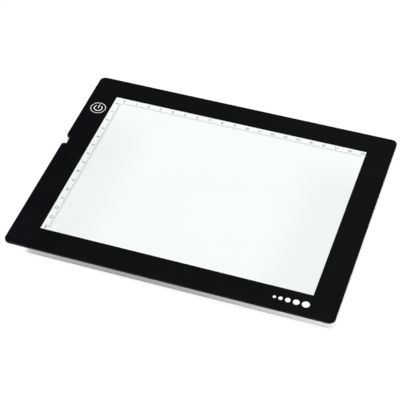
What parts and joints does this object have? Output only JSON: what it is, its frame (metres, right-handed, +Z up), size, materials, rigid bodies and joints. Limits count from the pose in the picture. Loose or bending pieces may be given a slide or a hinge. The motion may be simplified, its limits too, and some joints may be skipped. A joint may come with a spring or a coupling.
{
  "type": "drawing light box",
  "caption": "Thin edge-lit drawing light box with a black frame, a lit white window with a centimetre ruler, a touch key and a notched supply inlet.",
  "frame": {"origin": "centre of the outline, on the surface that the feet stand on", "axes": "+X along the long side to the right, +Y to the back where the long ruler is, +Z up out of the drawing surface"},
  "size_m": [0.2398, 0.1896, 0.0068],
  "materials": {
    "black_acrylic": "smooth black acrylic",
    "opal_acrylic": "satin opal acrylic, lit from behind",
    "grey_ink": "screen-printed ink",
    "white_ink": "white paint in engraving",
    "white_abs": "fine moulded texture",
    "clear_tape": "double-sided tape",
    "grey_foam": "closed-cell foam",
    "clear_acrylic": "polished clear acrylic with printed dots below",
    "frosted_film": "frosted film",
    "prism_film": "fine ribbed film",
    "white_film": "white reflector film",
    "white_board": "white solder mask",
    "green_board": "green solder mask",
    "led_housing": "white moulded housing",
    "led_gel": "yellow gel",
    "black_chip": "moulded epoxy with tinned legs",
    "chip_ceramic": "tan ceramic with tinned ends",
    "resistor_black": "dark glaze with tinned ends",
    "tinned_steel": "tinned sheet",
    "black_nylon": "moulded nylon",
    "gold_contact": "plated contact",
    "copper": "copper foil",
    "spring_steel": "drawn wire",
    "red_sleeve": "wire sleeve",
    "black_sleeve": "wire sleeve",
    "solder": "bright solder",
    "foot_rubber": "soft rubber"
  },
  "bodies": {
    "root": {"bezel_frame": "black_acrylic", "drawing_panel": "opal_acrylic", "ruler_print": "grey_ink", "power_key_print": "white_ink", "brightness_dots": "white_ink", "side_frame": "white_abs", "back_cover": "white_abs", "rubber_feet": "foot_rubber", "bezel_tape": "clear_tape", "back_cover_tape": "clear_tape", "panel_gasket": "grey_foam", "edge_reflector_tape": "white_film", "led_bar_tape": "clear_tape", "board_tape": "clear_tape", "reflector_sheet": "white_film", "light_guide": "clear_acrylic", "diffuser_film": "frosted_film", "prism_film": "prism_film", "led_bar_board": "white_board", "led_packages": "led_housing", "led_fills": "led_gel", "led_bar_resistors": "resistor_black", "control_board": "green_board", "usb_shell": "tinned_steel", "usb_tongue": "black_nylon", "usb_contacts": "gold_contact", "touch_electrode": "copper", "touch_spring": "spring_steel", "touch_chip": "black_chip", "driver_transistor": "black_chip", "chip_capacitors": "chip_ceramic", "chip_resistors": "resistor_black", "lead_red": "red_sleeve", "lead_black": "black_sleeve", "lead_solder": "solder"}
  },
  "joints": []
}
